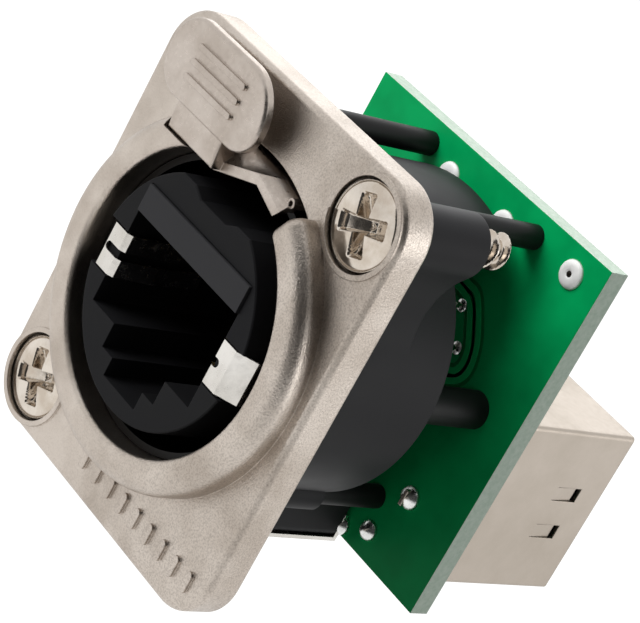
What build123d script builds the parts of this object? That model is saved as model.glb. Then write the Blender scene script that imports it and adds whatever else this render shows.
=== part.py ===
from build123d import *
import os
from math import atan2, cos, degrees, hypot, radians, sin, sqrt

# Ethernet panel connector, in millimetres. Seen from the front, X is to the right and Z is up.
# Y runs from the front into the panel. The origin is the bore's centre in the flange's back face.

# Flange casting
flange_width = 26.0
flange_height = 31.0
flange_thickness = 2.5
flange_corner_radius = 3.4
flange_edge_rounding = 0.45
flange_back_rounding = 0.3
screw_spacing_x = 19.0
screw_spacing_z = 24.0

# Collar and bore
collar_height = 1.9
collar_outer_radius = 12.0
collar_outer_rounding = 1.0
collar_inner_rounding = 0.35
bore_radius = 9.7
latch_slot_radius = 11.3
latch_slot_right_angle = 60.0
latch_slot_left = -7.55
latch_slot_floor = 8.35
latch_notch_top = 12.0
collar_end_rounding = 0.6

# Plain raised ribs along the flange's lower edge
mark_rib_count = 9
mark_rib_pitch = 1.6
mark_rib_width = 0.55
mark_rib_length = 1.5
mark_rib_height = 0.2
mark_rib_centre_x = 4.7
mark_rib_centre_z = -13.0

# Countersunk screws with a crossed recess
screw_radius = 1.25
screw_shank_radius = 1.0
screw_head_radius = 2.75
screw_dome_height = 0.35
screw_tail = 3.45
screw_tip_chamfer = 0.3
cross_width = 0.95
cross_length = 3.9
cross_depth = 1.5
cross_floor_radius = 0.6
cross_turn = 20.0
screw_hole_clearance = 0.15
screw_thread_clearance = 0.02
recess_clearance = 0.2
recess_depth = 0.4
recess_rim_width = 0.35
recess_rim_height = 0.12

# Push lever
tab_left = -10.3
tab_right = 0.5
tab_bottom = 10.3
tab_top = 15.6
tab_thickness = 0.65
tab_gap = 1.45
tab_edge_rounding = 0.25
tab_corner_top_left = 2.4
tab_corner_top_right = 3.2
tab_corner_bottom_right = 2.0
tab_corner_bottom_left = 2.4
ridge_count = 3
ridge_pitch = 1.05
ridge_length = 5.4
ridge_width = 0.42
ridge_height = 0.18
ridge_centre_x = -4.9
ridge_centre_z = 13.0
neck_left = -7.4
neck_right = -2.2
neck_lower_edge = 8.45
neck_slope = 0.35
neck_thickness = 1.3
neck_root = 1.4
neck_edge_rounding = 0.2
arm_front_gap = 0.9
arm_slope_depth = 1.4
arm_back_depth = 0.4
arm_root = 0.6
arm_root_z = 8.15
arm_lip = 0.65
arm_valley_x = 1.2
arm_valley_z = 9.5
arm_tooth_x = 3.6
arm_tooth_z = 8.75
arm_tip_x = 4.0
arm_tip_z = 9.3
arm_back_top = 10.75
arm_crest_x = 2.0
arm_crest_z = 10.55
arm_end_x = 3.7
arm_end_z = 10.15
arm_tooth_rake = 0.3
eye_x = 3.8
eye_z = 9.9
eye_ring_radius = 0.34
eye_radius = 0.18
web_inset = 0.4
web_offset = 0.25
web_thickness = 0.85
knuckle_left = -5.6
knuckle_right = -3.0
knuckle_radius = 1.0
pin_depth = 0.8
pin_height = 10.7
pin_radius = 0.5
pin_clearance = 0.03
pin_right = -2.0

# Spring beside the knuckle
spring_wire_radius = 0.15
spring_coil_radius = 0.72
spring_pitch = 0.42
spring_height = 1.3
spring_gap = 0.18
spring_leg = 0.9
spring_tail_turn = 0.97

# Lever bay in the housing
bay_left = -7.5
bay_right = -2.75
bay_bottom = 9.35
bay_top = 12.3
bay_depth = 2.6

# Liner ring in the bore
sleeve_front = -2.5
sleeve_clearance = 0.05
sleeve_wall = 0.5
sleeve_notch_left = -3.2
sleeve_notch_right = 5.2
sleeve_notch_depth = 1.0

# Jack insert: plug opening with its stepped keyway
insert_radius = 8.1
insert_flat = 7.1
insert_dip_depth = 0.5
insert_dip_half_width = 2.4
insert_edge_chamfer = 0.08
insert_clearance = 0.05
opening_width = 11.9
opening_height = 6.85
opening_top = 3.1
keyway_width = 6.4
keyway_height = 1.75
keyway_inner_width = 3.8
keyway_inner_height = 1.3
opening_depth = 12.4
comb_height = 1.9
comb_depth = 6.4
comb_proud = 0.2
comb_clearance = 0.06

# Shield contacts at the sides of the opening
shield_thickness = 0.22
shield_half_height = 1.55
shield_centre_z = -0.25
shield_slot_height = 0.6
right_slot_end = 6.2
left_slot_end = 6.95
shield_reach_in = 7.4
shield_reach_out = 6.9
shield_bow = 0.3
shield_bow_depth = 3.3
shield_lip_depth = 0.25
shield_bend_x = 6.0
shield_slope_x = 7.25
shield_slope = 1.0
shield_wall_gap = 0.12
shield_seat_gap = 0.03
shield_seat_relief = 0.1

# Rear housing
body_radius = 10.8
boss_length = 6.5
boss_radius = 2.1
boss_blend = 6.0
lug_half_width = 8.4
lug_top = 13.2
lug_bottom = 6.0
lug_corner = 1.2
lug_depth = 4.6
barrel_rear = 10.3
bore_depth = 6.5
hood_radius = 11.8
hood_left = -6.8
hood_right = 5.4
hood_bottom = 9.0
hood_gap = 1.1
ledge_left = -4.2
ledge_right = 4.2
ledge_bottom = -13.75
ledge_top = -10.4
ledge_rear = 15.9
ledge_corner = 0.6
ear_radius = 1.25

# Ground strip under the ledge
strip_thickness = 0.3
strip_tail_out = 0.05
strip_tail_width = 0.6
strip_tail_top = -11.9
strip_pin_width = 0.4
strip_pin_z = -12.85
strip_pin_gap = 0.1

# Circuit board
board_width = 25.4
board_height = 27.0
board_thickness = 1.6
board_front = 16.4
pad_thickness = 0.06
pad_radius = 1.0
pad_hole_radius = 0.3
corner_pad_x = 10.0
corner_pad_z = 11.6
inner_pad_x = 3.05
inner_pad_z = 10.95
pin_hole_clearance = 0.08

# Board standoffs
standoff_radius = 0.85
standoff_spigot_radius = 0.45
standoff_spigot = 1.5
standoff_pocket_clearance = 0.08
upper_standoff_x = 5.9
upper_standoff_z = 11.8
side_standoff_radius = 1.3
side_standoff_x = 8.75
side_standoff_z = 0.2
lower_standoff_x = 5.3
lower_standoff_z = -9.4

# Spring wires of the two jacks
wire_radius = 0.22
wire_count = 8
wire_pitch = 1.02
board_pitch = 1.4
row_spacing = 2.45
wire_hole_clearance = 0.02
wire_below_ceiling = 0.5
wire_nose = 5.0
wire_fold_drop = 3.2
wire_fold_length = 5.6
wire_fold_radius = 0.35
wire_bend_radius = 0.5
wire_lead = 0.6
wire_out = 0.6
rear_bend_radius = 0.2
rear_bend_margin = 0.1
rear_wire_lead = 0.3
front_row_z = 2.45

# Rear shielded jack
shell_width = 16.0
shell_top = -1.0
shell_height = 13.35
shell_rear = 35.0
shell_thickness = 0.3
shell_clearance = 0.05
shell_rim = 1.0
shell_tab_z = -7.65
shell_tab_width = 1.2
shell_tab_out = 0.7
window_length = 2.5
window_height = 1.15
window_start = 30.1
window_upper_z = -6.2
window_spacing = 3.2
tongue_angle = 4.0
tongue_length = 2.1
tongue_slit = 0.05
tongue_root_overlap = 0.05
tongue_pocket = 0.5
tongue_pocket_margin = 0.15
rear_opening_top = -3.4
rear_opening_depth = 12.6
rear_row_z = -3.0
base_recess_depth = 2.0
base_recess_half_width = 5.6
base_recess_top = -2.2
base_recess_bottom = -6.6
ground_pin_x = 6.2
ground_pin_z = -11.6
ground_pin_radius = 0.3
ground_pin_seat = 1.5
ground_pin_out = 0.6

# Solder joints on the board
solder_radius = 0.75
solder_height = 0.62
tab_solder_radius = 0.85
small_solder_radius = 0.48
small_solder_height = 0.45
solder_lead = 2.0

# Depths that follow from the values above
flange_front = -flange_thickness
collar_front = flange_front - collar_height
boss_x = screw_spacing_x / 2
boss_z = screw_spacing_z / 2
tab_back = flange_front - tab_gap
tab_front = tab_back - tab_thickness
board_rear = board_front + board_thickness
insert_rear = barrel_rear
opening_floor = collar_front + opening_depth
far = 60.0


def slab(sketch, y_front, y_back):
    """Solid with the sketch's outline in X and Z, from y_front back to y_back."""
    return extrude(Plane.XZ.offset(-y_back) * sketch, y_back - y_front)


def block(x_min, x_max, y_min, y_max, z_min, z_max):
    """Box between two corners."""
    size = (x_max - x_min, y_max - y_min, z_max - z_min)
    centre = ((x_min + x_max) / 2, (y_min + y_max) / 2, (z_min + z_max) / 2)
    return Pos(*centre) * Box(*size)


def rod(x, z, radius, y_front, y_back):
    """Round bar along Y."""
    return slab(Pos(x, z) * Circle(radius), y_front, y_back)


def panel(x_min, x_max, z_min, z_max):
    """Flat rectangle between two corners."""
    return Pos((x_min + x_max) / 2, (z_min + z_max) / 2) * Rectangle(x_max - x_min, z_max - z_min)


def polygon(points):
    """Closed flat face through the points."""
    return make_face(Polyline(*points, close=True))


def along_x(points, x_min, x_max):
    """Solid with an outline of (y, z) points, from x_min to x_max."""
    return extrude(Plane.YZ.offset(x_min) * polygon(points), x_max - x_min)


def along_z(points, z_min, z_max):
    """Solid with an outline of (x, y) points, from z_min to z_max."""
    return extrude(Plane.XY.offset(z_min) * polygon(points), z_max - z_min)


def ribbon(points, thickness):
    """Outline of a bent strip: the centre line's points set off to both sides, with mitred bends."""
    half = thickness / 2
    left, right = [], []
    for i, (x, y) in enumerate(points):
        before = points[max(i - 1, 0)]
        after = points[min(i + 1, len(points) - 1)]
        angles = []
        for start, end in ((before, (x, y)), ((x, y), after)):
            if start != end:
                angles.append(atan2(end[1] - start[1], end[0] - start[0]))
        first, last = angles[0], angles[-1]
        nx, ny = -sin(first) - sin(last), cos(first) + cos(last)
        length = hypot(nx, ny)
        reach = half / (length / 2)
        nx, ny = nx / length * reach, ny / length * reach
        left.append((x + nx, y + ny))
        right.append((x - nx, y - ny))
    return left + right[::-1]


def jack_opening(top):
    """Plug opening: a wide rectangle over the two steps of the latch keyway."""
    steps = [(opening_width, opening_height),
             (keyway_width, opening_height + keyway_height),
             (keyway_inner_width, opening_height + keyway_height + keyway_inner_height)]
    outline = Sketch()
    for width, height in steps:
        outline += Pos(0, top - height / 2) * Rectangle(width, height)
    return outline


def front_edges(solid):
    """Edges of the solid's frontmost flat face."""
    return solid.faces().sort_by(Axis.Y)[0].edges()


def wire_rod(points, radii):
    """Round wire along straight runs joined by arcs."""
    path = FilletPolyline(*points, radius=radii)
    return sweep(Plane(origin=path @ 0, z_dir=path % 0) * Circle(wire_radius), path=path)


def wire_places(row_z):
    """For each spring wire: its place across the opening, and its place and row on the board."""
    places = []
    for i in range(wire_count):
        step = i - (wire_count - 1) / 2
        places.append((step * wire_pitch, step * board_pitch, row_z + ((i + 1) % 2) * row_spacing))
    return places


def screw_places():
    """Centres of the two flange screws."""
    return [(boss_x, boss_z), (-boss_x, -boss_z)]


def both_sides(x, z):
    """A place and its mirror image."""
    return [(x, z), (-x, z)]


def rear_standoff_places():
    """Centres of the standoffs that start from the barrel's rear face."""
    return both_sides(side_standoff_x, side_standoff_z) + both_sides(lower_standoff_x, lower_standoff_z)


def collar_gap():
    """Opening in the collar above the latch: from a line on the left to a radius on the right."""
    end = radians(latch_slot_right_angle)
    right = (far * cos(end), far * sin(end))
    sector = polygon([(0, 0), right, (latch_slot_left, far), (latch_slot_left, 0)])
    return sector & Pos(0, latch_slot_floor + far / 2) * Rectangle(2 * far, far)


def latch_slot():
    """Slot through the flange for the lever: a sector on the right and a notch on the left."""
    notch_width = neck_right - latch_slot_left
    notch_height = latch_notch_top - latch_slot_floor
    notch_centre = (latch_slot_left + notch_width / 2, latch_slot_floor + notch_height / 2)
    notch = Pos(*notch_centre) * Rectangle(notch_width, notch_height)
    return (collar_gap() & Circle(latch_slot_radius)) + notch


def front_flange():
    plate = slab(RectangleRounded(flange_width, flange_height, flange_corner_radius), flange_front, 0)
    plate = fillet(front_edges(plate), flange_edge_rounding)
    plate = fillet(plate.faces().sort_by(Axis.Y)[-1].edges(), flange_back_rounding)
    collar = slab(Circle(collar_outer_radius), collar_front, 0)
    collar = fillet(front_edges(collar), collar_outer_rounding)
    bore = slab(Circle(bore_radius), collar_front - 1, 1)
    body = plate + collar - bore
    inner = body.edges().filter_by(GeomType.CIRCLE).sort_by(Axis.Y)
    rim = [e for e in inner if abs(e.radius - bore_radius) < 0.01][0]
    body = fillet(rim, collar_inner_rounding)
    recess_radius = screw_head_radius + recess_clearance
    hole_radius = screw_radius + screw_hole_clearance
    for x, z in screw_places():
        rim_radius = recess_radius + recess_rim_width
        body += rod(x, z, rim_radius, flange_front - recess_rim_height, flange_front + 0.1)
        body -= rod(x, z, recess_radius, flange_front - 1, flange_front + recess_depth)
        cone_depth = recess_radius - hole_radius
        cone_front = flange_front + recess_depth
        cone = Pos(x, cone_front, z) * Rot(-90, 0, 0) * Cone(
            recess_radius, hole_radius, cone_depth, align=(Align.CENTER, Align.CENTER, Align.MIN))
        body -= cone
        body -= rod(x, z, hole_radius, flange_front - 1, 1)
    body -= slab(latch_slot(), collar_front - 1, 1)
    body -= slab(collar_gap(), collar_front - 1, flange_front)
    end = radians(latch_slot_right_angle)
    corner = Vector(bore_radius * cos(end), 0, bore_radius * sin(end))
    near = [e for e in body.edges().filter_by(Axis.Y)
            if hypot(e.center().X - corner.X, e.center().Z - corner.Z) < 0.05]
    body = fillet(near, collar_end_rounding)
    for i in range(mark_rib_count):
        x = mark_rib_centre_x + (i - (mark_rib_count - 1) / 2) * mark_rib_pitch
        bar = SlotOverall(mark_rib_length, mark_rib_width, rotation=90)
        body += slab(Pos(x, mark_rib_centre_z) * bar, flange_front - mark_rib_height, flange_front + 0.1)
    return body


def tab_outline():
    """Rounded outline of the lever's tab."""
    width = tab_right - tab_left
    height = tab_top - tab_bottom
    outline = Pos((tab_left + tab_right) / 2, (tab_top + tab_bottom) / 2) * Rectangle(width, height)
    corners = [(tab_left, tab_top, tab_corner_top_left),
               (tab_right, tab_top, tab_corner_top_right),
               (tab_right, tab_bottom, tab_corner_bottom_right),
               (tab_left, tab_bottom, tab_corner_bottom_left)]
    for x, z, radius in corners:
        corner = [v for v in outline.vertices() if hypot(v.X - x, v.Y - z) < 0.01]
        outline = fillet(corner, radius)
    return outline


def lever_arm():
    """Latch arm: a lip along the lower outline at the front, and a face that slopes up to the back."""
    front = flange_front - arm_front_gap
    middle = front + arm_slope_depth
    back = middle + arm_back_depth
    root_x = neck_right - arm_root
    lip = [(root_x, arm_root_z), (arm_valley_x, arm_valley_z), (arm_tooth_x, arm_tooth_z),
           (arm_tip_x, arm_tip_z),
           (arm_valley_x - arm_tooth_rake, arm_valley_z + arm_lip), (root_x, arm_root_z + arm_lip)]
    full = [(root_x, arm_root_z), (arm_valley_x, arm_valley_z),
            (arm_tooth_x - arm_tooth_rake, arm_tooth_z + arm_tooth_rake), (arm_end_x, arm_end_z),
            (arm_crest_x, arm_crest_z), (root_x, arm_back_top)]
    sections = [Plane.XZ.offset(-front) * polygon(lip), Plane.XZ.offset(-middle) * polygon(full)]
    arm = loft(sections, ruled=True)
    arm += slab(polygon(full), middle, back)
    arm += rod(eye_x, eye_z, eye_ring_radius, (front + middle) / 2, back)
    return arm - rod(eye_x, eye_z, eye_radius, front - 1, back + 1)


def lever_neck():
    """Neck that slopes back from the tab's face to its own lower edge."""
    top = tab_bottom + neck_root
    low_front = tab_front + neck_slope
    low_back = low_front + neck_thickness
    neck = along_x([(tab_front, top), (low_front, neck_lower_edge), (low_back, neck_lower_edge),
                    (low_back, tab_bottom), (tab_back, top)], neck_left, neck_right)
    face = neck.faces().sort_by(Axis.Y)[0]
    return fillet(face.edges().filter_by(lambda e: e.center().Z < top - 0.01), neck_edge_rounding)


def push_lever():
    tab = slab(tab_outline(), tab_front, tab_back)
    tab = fillet(front_edges(tab), tab_edge_rounding)
    web_bottom = pin_height - knuckle_radius + web_offset
    web_top = web_bottom + web_thickness
    arm_back = flange_front - arm_front_gap + arm_slope_depth + arm_back_depth
    web = block(neck_left + web_inset, knuckle_right, tab_front + neck_slope + web_inset, arm_back,
                web_bottom, web_top)
    web += block(knuckle_left, knuckle_right, flange_front - arm_front_gap, pin_depth, web_bottom, web_top)
    knuckle = Pos((knuckle_left + knuckle_right) / 2, pin_depth, pin_height) * Rot(0, 90, 0) * Cylinder(
        knuckle_radius, knuckle_right - knuckle_left)
    lever = tab + lever_neck() + lever_arm() + web + knuckle
    bore = Pos(knuckle_left, pin_depth, pin_height) * Rot(0, 90, 0) * Cylinder(
        pin_radius + pin_clearance, far)
    lever -= bore
    for i in range(ridge_count):
        z = ridge_centre_z + (i - (ridge_count - 1) / 2) * ridge_pitch
        bar = SlotOverall(ridge_length, ridge_width)
        lever += slab(Pos(ridge_centre_x, z) * bar, tab_front - ridge_height, tab_front + tab_thickness / 2)
    return lever


def lever_pin():
    pin = Pos((pin_right - lug_half_width) / 2, pin_depth, pin_height) * Rot(0, 90, 0)
    return pin * Cylinder(pin_radius, pin_right + lug_half_width)


def lever_spring():
    """Torsion spring round the pin: a leg over the bay's floor and a tail against the knuckle."""
    start_x = knuckle_left - spring_gap - spring_height
    coil = Helix(spring_pitch, spring_height, spring_coil_radius, center=(start_x, pin_depth, pin_height),
                 direction=(1, 0, 0))
    section = Plane(origin=coil @ 0, z_dir=coil % 0) * Circle(spring_wire_radius)
    spring = sweep(section, path=coil, is_frenet=True)
    tip = coil @ 0
    heading = coil % 0
    leg = Plane(origin=tip, z_dir=-heading) * Cylinder(
        spring_wire_radius, spring_leg, align=(Align.CENTER, Align.CENTER, Align.MIN))
    end = coil @ spring_tail_turn
    tail_length = knuckle_left - end.X
    tail_centre = Pos(end.X + tail_length / 2, end.Y, end.Z)
    tail = tail_centre * Rot(0, 90, 0) * Cylinder(spring_wire_radius, tail_length)
    return spring + leg + tail


def inner_sleeve():
    outer = bore_radius - sleeve_clearance
    ring = slab(Circle(outer) - Circle(outer - sleeve_wall), sleeve_front, bore_depth)
    notch = block(sleeve_notch_left, sleeve_notch_right, sleeve_front - 1,
                  sleeve_front + sleeve_notch_depth, insert_flat, far)
    return ring - notch


def insert_outline(clearance):
    """Round outline of the jack insert, with a flat top that dips in the middle."""
    keep = Pos(0, insert_flat + clearance - far / 2) * Rectangle(far, far)
    half, bottom = insert_dip_half_width, insert_flat - insert_dip_depth
    slope = 2 * insert_dip_depth
    dip = polygon([(-half, insert_flat + clearance), (half, insert_flat + clearance),
                   (half - slope, bottom + clearance), (slope - half, bottom + clearance)])
    return (Circle(insert_radius + clearance) & keep) - dip


def shield_path():
    """Centre line of a shield contact, from its tip in the opening to its tail outside the insert."""
    inside = opening_width / 2 - shield_wall_gap - shield_thickness / 2
    face = collar_front + shield_thickness / 2
    outside = insert_radius + shield_wall_gap + shield_thickness / 2
    return [(inside, collar_front + shield_reach_in),
            (inside - shield_bow, collar_front + shield_bow_depth),
            (inside, face + shield_lip_depth), (shield_bend_x, face), (shield_slope_x, face),
            (outside, face + shield_slope), (outside, face + shield_slope + shield_reach_out)]


def jack_insert():
    body = slab(insert_outline(0), collar_front, insert_rear)
    body = chamfer(front_edges(body), insert_edge_chamfer)
    body -= slab(jack_opening(opening_top), collar_front - 1, opening_floor)
    comb_half = opening_width / 2
    body -= block(-comb_half, comb_half, collar_front - 1, collar_front + comb_depth,
                  opening_top, opening_top + comb_height + comb_clearance)
    seat = shield_half_height + shield_wall_gap
    face = collar_front + shield_thickness + shield_seat_gap
    corner = shield_slope_x - shield_seat_relief
    channel = [(opening_width / 2 - 1, collar_front - 1), (opening_width / 2 - 1, face), (corner, face),
               (corner + shield_slope + 1, face + shield_slope + 1), (far, face + shield_slope + 1),
               (far, collar_front - 1)]
    channel = along_z(channel, shield_centre_z - seat, shield_centre_z + seat)
    body -= channel
    body -= mirror(channel, about=Plane.YZ)
    level = opening_top - wire_below_ceiling
    for x, _, _ in wire_places(front_row_z):
        body -= rod(x, level, wire_radius + wire_hole_clearance, opening_floor - 1, insert_rear + 1)
    return body


def contact_comb():
    half = opening_width / 2 - comb_clearance
    return block(-half, half, collar_front - comb_proud, collar_front + comb_depth,
                 opening_top, opening_top + comb_height)


def shield_contact(slot_end):
    """Bent strip at the right side of the opening, with a slot from its tip to slot_end."""
    strip = along_z(ribbon(shield_path(), shield_thickness),
                    shield_centre_z - shield_half_height, shield_centre_z + shield_half_height)
    slot_rear = collar_front + shield_reach_in + 1
    slot = block(0, slot_end, collar_front - 1, slot_rear,
                 shield_centre_z - shield_slot_height / 2, shield_centre_z + shield_slot_height / 2)
    slot += rod(slot_end, shield_centre_z, shield_slot_height / 2, collar_front - 1,
                collar_front + shield_thickness + 0.5)
    return strip - slot


def right_shield_contact():
    return shield_contact(right_slot_end)


def left_shield_contact():
    return mirror(shield_contact(left_slot_end), about=Plane.YZ)


def front_contacts():
    """Eight spring wires: folded spring in the opening, straight run, fan and pin through the board."""
    level = opening_top - wire_below_ceiling
    nose = collar_front + wire_nose
    wires = []
    for x, board_x, row_z in wire_places(front_row_z):
        points = [(x, nose + wire_fold_length, level - wire_fold_drop), (x, nose, level),
                  (x, insert_rear + wire_lead, level),
                  (board_x, board_front - wire_lead, row_z), (board_x, board_rear + wire_out, row_z)]
        wires.append(wire_rod(points, [wire_fold_radius, wire_bend_radius, wire_bend_radius]))
    return Compound(children=wires)


def boss_outline():
    """Circle of the body with the two screw bosses blended on to it."""
    outline = Circle(body_radius)
    for x, z in screw_places():
        turn = atan2(z, x)
        reach = hypot(x, z)
        web = Pos(reach / 2 * cos(turn), reach / 2 * sin(turn)) * Rot(0, 0, degrees(turn))
        outline = outline + web * Rectangle(reach, 2 * boss_radius)
    corners = [v for v in outline.vertices() if abs(hypot(v.X, v.Y) - body_radius) < 0.05]
    outline = fillet(corners, boss_blend)
    for x, z in screw_places():
        outline = outline + Pos(x, z) * Circle(boss_radius)
    return outline


def housing_layers():
    """Outlines that the housing is stacked from, each with the depths where it starts and ends."""
    hood = panel(hood_left, hood_right, hood_bottom, hood_radius) & Circle(hood_radius)
    lug = Pos(0, (lug_top + lug_bottom) / 2) * RectangleRounded(
        2 * lug_half_width, lug_top - lug_bottom, lug_corner)
    ledge = Pos((ledge_left + ledge_right) / 2, (ledge_top + ledge_bottom) / 2) * RectangleRounded(
        ledge_right - ledge_left, ledge_top - ledge_bottom, ledge_corner)
    front = boss_outline() + hood
    barrel = Circle(body_radius) + hood
    for x, z in both_sides(lower_standoff_x, lower_standoff_z):
        barrel += Pos(x, z) * Circle(ear_radius)
    return [(front + lug + ledge, 0, lug_depth), (front + ledge, lug_depth, boss_length),
            (barrel + ledge, boss_length, barrel_rear), (hood, barrel_rear, board_front - hood_gap),
            (ledge, barrel_rear, ledge_rear)]


def rear_housing():
    layers = [slab(outline, y_front, y_back) for outline, y_front, y_back in housing_layers()]
    body = layers[0]
    for layer in layers[1:]:
        body += layer
    body -= slab(Circle(bore_radius), -1, bore_depth)
    body -= slab(insert_outline(insert_clearance), 0, barrel_rear + 1)
    body -= block(bay_left, bay_right, -1, bay_depth, bay_bottom, bay_top)
    pin_centre = Pos((pin_right - lug_half_width) / 2, pin_depth, pin_height)
    body -= pin_centre * Rot(0, 90, 0) * Cylinder(pin_radius, pin_right + lug_half_width)
    for x, z in screw_places():
        body -= rod(x, z, screw_shank_radius + screw_thread_clearance, -1, boss_length + 1)
    for x, z in both_sides(upper_standoff_x, upper_standoff_z):
        body -= rod(x, z, standoff_radius + standoff_pocket_clearance, lug_depth, board_front)
        body -= rod(x, z, standoff_spigot_radius, lug_depth - standoff_spigot, lug_depth + 1)
    for x, z in rear_standoff_places():
        body -= rod(x, z, standoff_spigot_radius, barrel_rear - standoff_spigot, barrel_rear + 1)
    return body


def mounting_screws():
    """Two screws: domed countersunk head with a crossed recess, a shank and a thicker threaded end."""
    head_front = flange_front + recess_depth - recess_clearance
    cone_depth = screw_head_radius - screw_shank_radius
    tip = boss_length + screw_tail
    dome = screw_dome_height
    dome_radius = (screw_head_radius ** 2 + dome ** 2) / (2 * dome)
    dome_centre = head_front - dome + dome_radius
    middle = screw_head_radius / 2
    middle_y = dome_centre - sqrt(dome_radius ** 2 - middle ** 2)
    arc = ThreePointArc((0, head_front - dome), (middle, middle_y), (screw_head_radius, head_front))
    rest = Polyline((screw_head_radius, head_front), (screw_shank_radius, head_front + cone_depth),
                    (screw_shank_radius, boss_length), (screw_radius, boss_length),
                    (screw_radius, tip - screw_tip_chamfer), (screw_radius - screw_tip_chamfer, tip),
                    (0, tip), (0, head_front - dome))
    screw = revolve(make_face(arc + rest), axis=Axis.Y)
    cross_front = head_front - dome
    wing = block(-cross_length, cross_length, cross_front - 1, cross_front + cross_depth,
                 -cross_width / 2, cross_width / 2)
    taper = Pos(0, cross_front, 0) * Rot(-90, 0, 0) * Cone(
        cross_length / 2, cross_floor_radius, cross_depth, align=(Align.CENTER, Align.CENTER, Align.MIN))
    for turn in (0, 90):
        screw -= Rot(0, cross_turn + turn, 0) * (wing & taper)
    return Compound(children=[Pos(x, 0, z) * screw for x, z in screw_places()])


def standoffs(places, radius, y_seat):
    """Round standoffs from the housing to the board, with a spigot at each end."""
    pieces = []
    for x, z in places:
        body = rod(x, z, radius, y_seat, board_front)
        body += rod(x, z, standoff_spigot_radius, y_seat - standoff_spigot, board_rear)
        pieces.append(body)
    return Compound(children=pieces)


def upper_standoffs():
    return standoffs(both_sides(upper_standoff_x, upper_standoff_z), standoff_radius, lug_depth)


def side_standoffs():
    return standoffs(both_sides(side_standoff_x, side_standoff_z), side_standoff_radius, barrel_rear)


def lower_standoffs():
    return standoffs(both_sides(lower_standoff_x, lower_standoff_z), standoff_radius, barrel_rear)


def strip_pin_x():
    """Centre of the ground strip's tail, at the ledge's right end."""
    return ledge_right - strip_tail_width / 2


def ground_strip():
    tail_y = ledge_rear + strip_tail_out
    strip = block(ledge_left + ledge_corner, ledge_right, 0, tail_y + strip_thickness,
                  ledge_bottom - strip_thickness, ledge_bottom)
    x = strip_pin_x()
    tail_half = strip_tail_width / 2
    strip += block(x - tail_half, x + tail_half, tail_y, tail_y + strip_thickness,
                   ledge_bottom, strip_tail_top)
    pin_half = strip_pin_width / 2
    strip += block(x - pin_half, x + pin_half, tail_y, board_rear - strip_pin_gap,
                   strip_pin_z - pin_half, strip_pin_z + pin_half)
    return strip


def pad_places():
    """Plated holes in the board's upper part: one in the right corner and two under the hood's edge."""
    return [(corner_pad_x, corner_pad_z)] + both_sides(inner_pad_x, inner_pad_z)


def shell_tab_x():
    """Centre of the shell's side wall."""
    return shell_width / 2 - shell_thickness / 2


def circuit_board():
    board = slab(Rectangle(board_width, board_height), board_front, board_rear)
    holes = [(x, z, pad_hole_radius) for x, z in pad_places()]
    holes += [(x, z, wire_radius + pin_hole_clearance) for _, x, z in wire_places(front_row_z)]
    holes += [(x, z, wire_radius + pin_hole_clearance) for _, x, z in wire_places(rear_row_z - row_spacing)]
    for x, z in both_sides(upper_standoff_x, upper_standoff_z) + rear_standoff_places():
        holes.append((x, z, standoff_spigot_radius))
    for x, z in both_sides(ground_pin_x, ground_pin_z):
        holes.append((x, z, ground_pin_radius + pin_hole_clearance))
    holes.append((strip_pin_x(), strip_pin_z, strip_pin_width))
    for x, z in both_sides(shell_tab_x(), shell_tab_z):
        holes.append((x, z, shell_tab_width / 2 + pin_hole_clearance))
    for x, z, radius in holes:
        board -= rod(x, z, radius, board_front - 1, board_rear + 1)
    return board


def plated_pads():
    """Tinned rings round the plated holes, on both faces of the board."""
    rings = []
    for x, z in pad_places():
        ring = Pos(x, z) * (Circle(pad_radius) - Circle(pad_hole_radius))
        rings.append(slab(ring, board_front - pad_thickness, board_front))
        rings.append(slab(ring, board_rear, board_rear + pad_thickness))
    return Compound(children=rings)


def solder_dome(x, z, radius, height, bore):
    """Rounded solder joint on the board's front face, with the lead's hole through it."""
    ball_radius = (radius ** 2 + height ** 2) / (2 * height)
    middle = radius * 0.7
    middle_y = ball_radius - height - sqrt(ball_radius ** 2 - middle ** 2)
    arc = ThreePointArc((0, -height), (middle, middle_y), (radius, 0))
    base = Polyline((radius, 0), (0, 0), (0, -height))
    dome = revolve(make_face(arc + base), axis=Axis.Y)
    return Pos(x, board_front, z) * dome - bore


def solder_joints():
    """Joints of the shell tabs, the ground pins, the ground strip and the two jacks' wires."""
    joints = []
    lead_front = board_front - solder_lead
    tab_half = shell_tab_width / 2
    wall_half = shell_thickness / 2
    for x, z in both_sides(shell_tab_x(), shell_tab_z):
        lead = block(x - wall_half, x + wall_half, lead_front, board_front, z - tab_half, z + tab_half)
        joints.append(solder_dome(x, z, tab_solder_radius, solder_height, lead))
    for x, z in both_sides(ground_pin_x, ground_pin_z):
        lead = rod(x, z, ground_pin_radius, lead_front, board_front)
        joints.append(solder_dome(x, z, solder_radius, solder_height, lead))
    x, half = strip_pin_x(), strip_pin_width / 2
    lead = block(x - half, x + half, lead_front, board_front, strip_pin_z - half, strip_pin_z + half)
    lead += block(x - strip_tail_width, x + strip_tail_width, lead_front,
                  ledge_rear + strip_tail_out + strip_thickness, strip_pin_z - far, strip_pin_z + far)
    joints.append(solder_dome(x, strip_pin_z, solder_radius, solder_height, lead))
    for _, x, z in wire_places(rear_row_z - row_spacing):
        lead = rod(x, z, wire_radius, lead_front, board_front)
        joints.append(solder_dome(x, z, small_solder_radius, small_solder_height, lead))
    middle = Plane.XZ.offset(-(board_front + board_rear) / 2)
    for _, x, z in wire_places(front_row_z):
        lead = rod(x, z, wire_radius, lead_front, board_front)
        joint = solder_dome(x, z, small_solder_radius, small_solder_height, lead)
        joints.append(mirror(joint, about=middle))
    return Compound(children=joints)


def window_places():
    """Centres of the two pressed windows in a side wall of the shell, as Y and Z."""
    y = window_start + window_length / 2
    return [(y, window_upper_z), (y, window_upper_z - window_spacing)]


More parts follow.
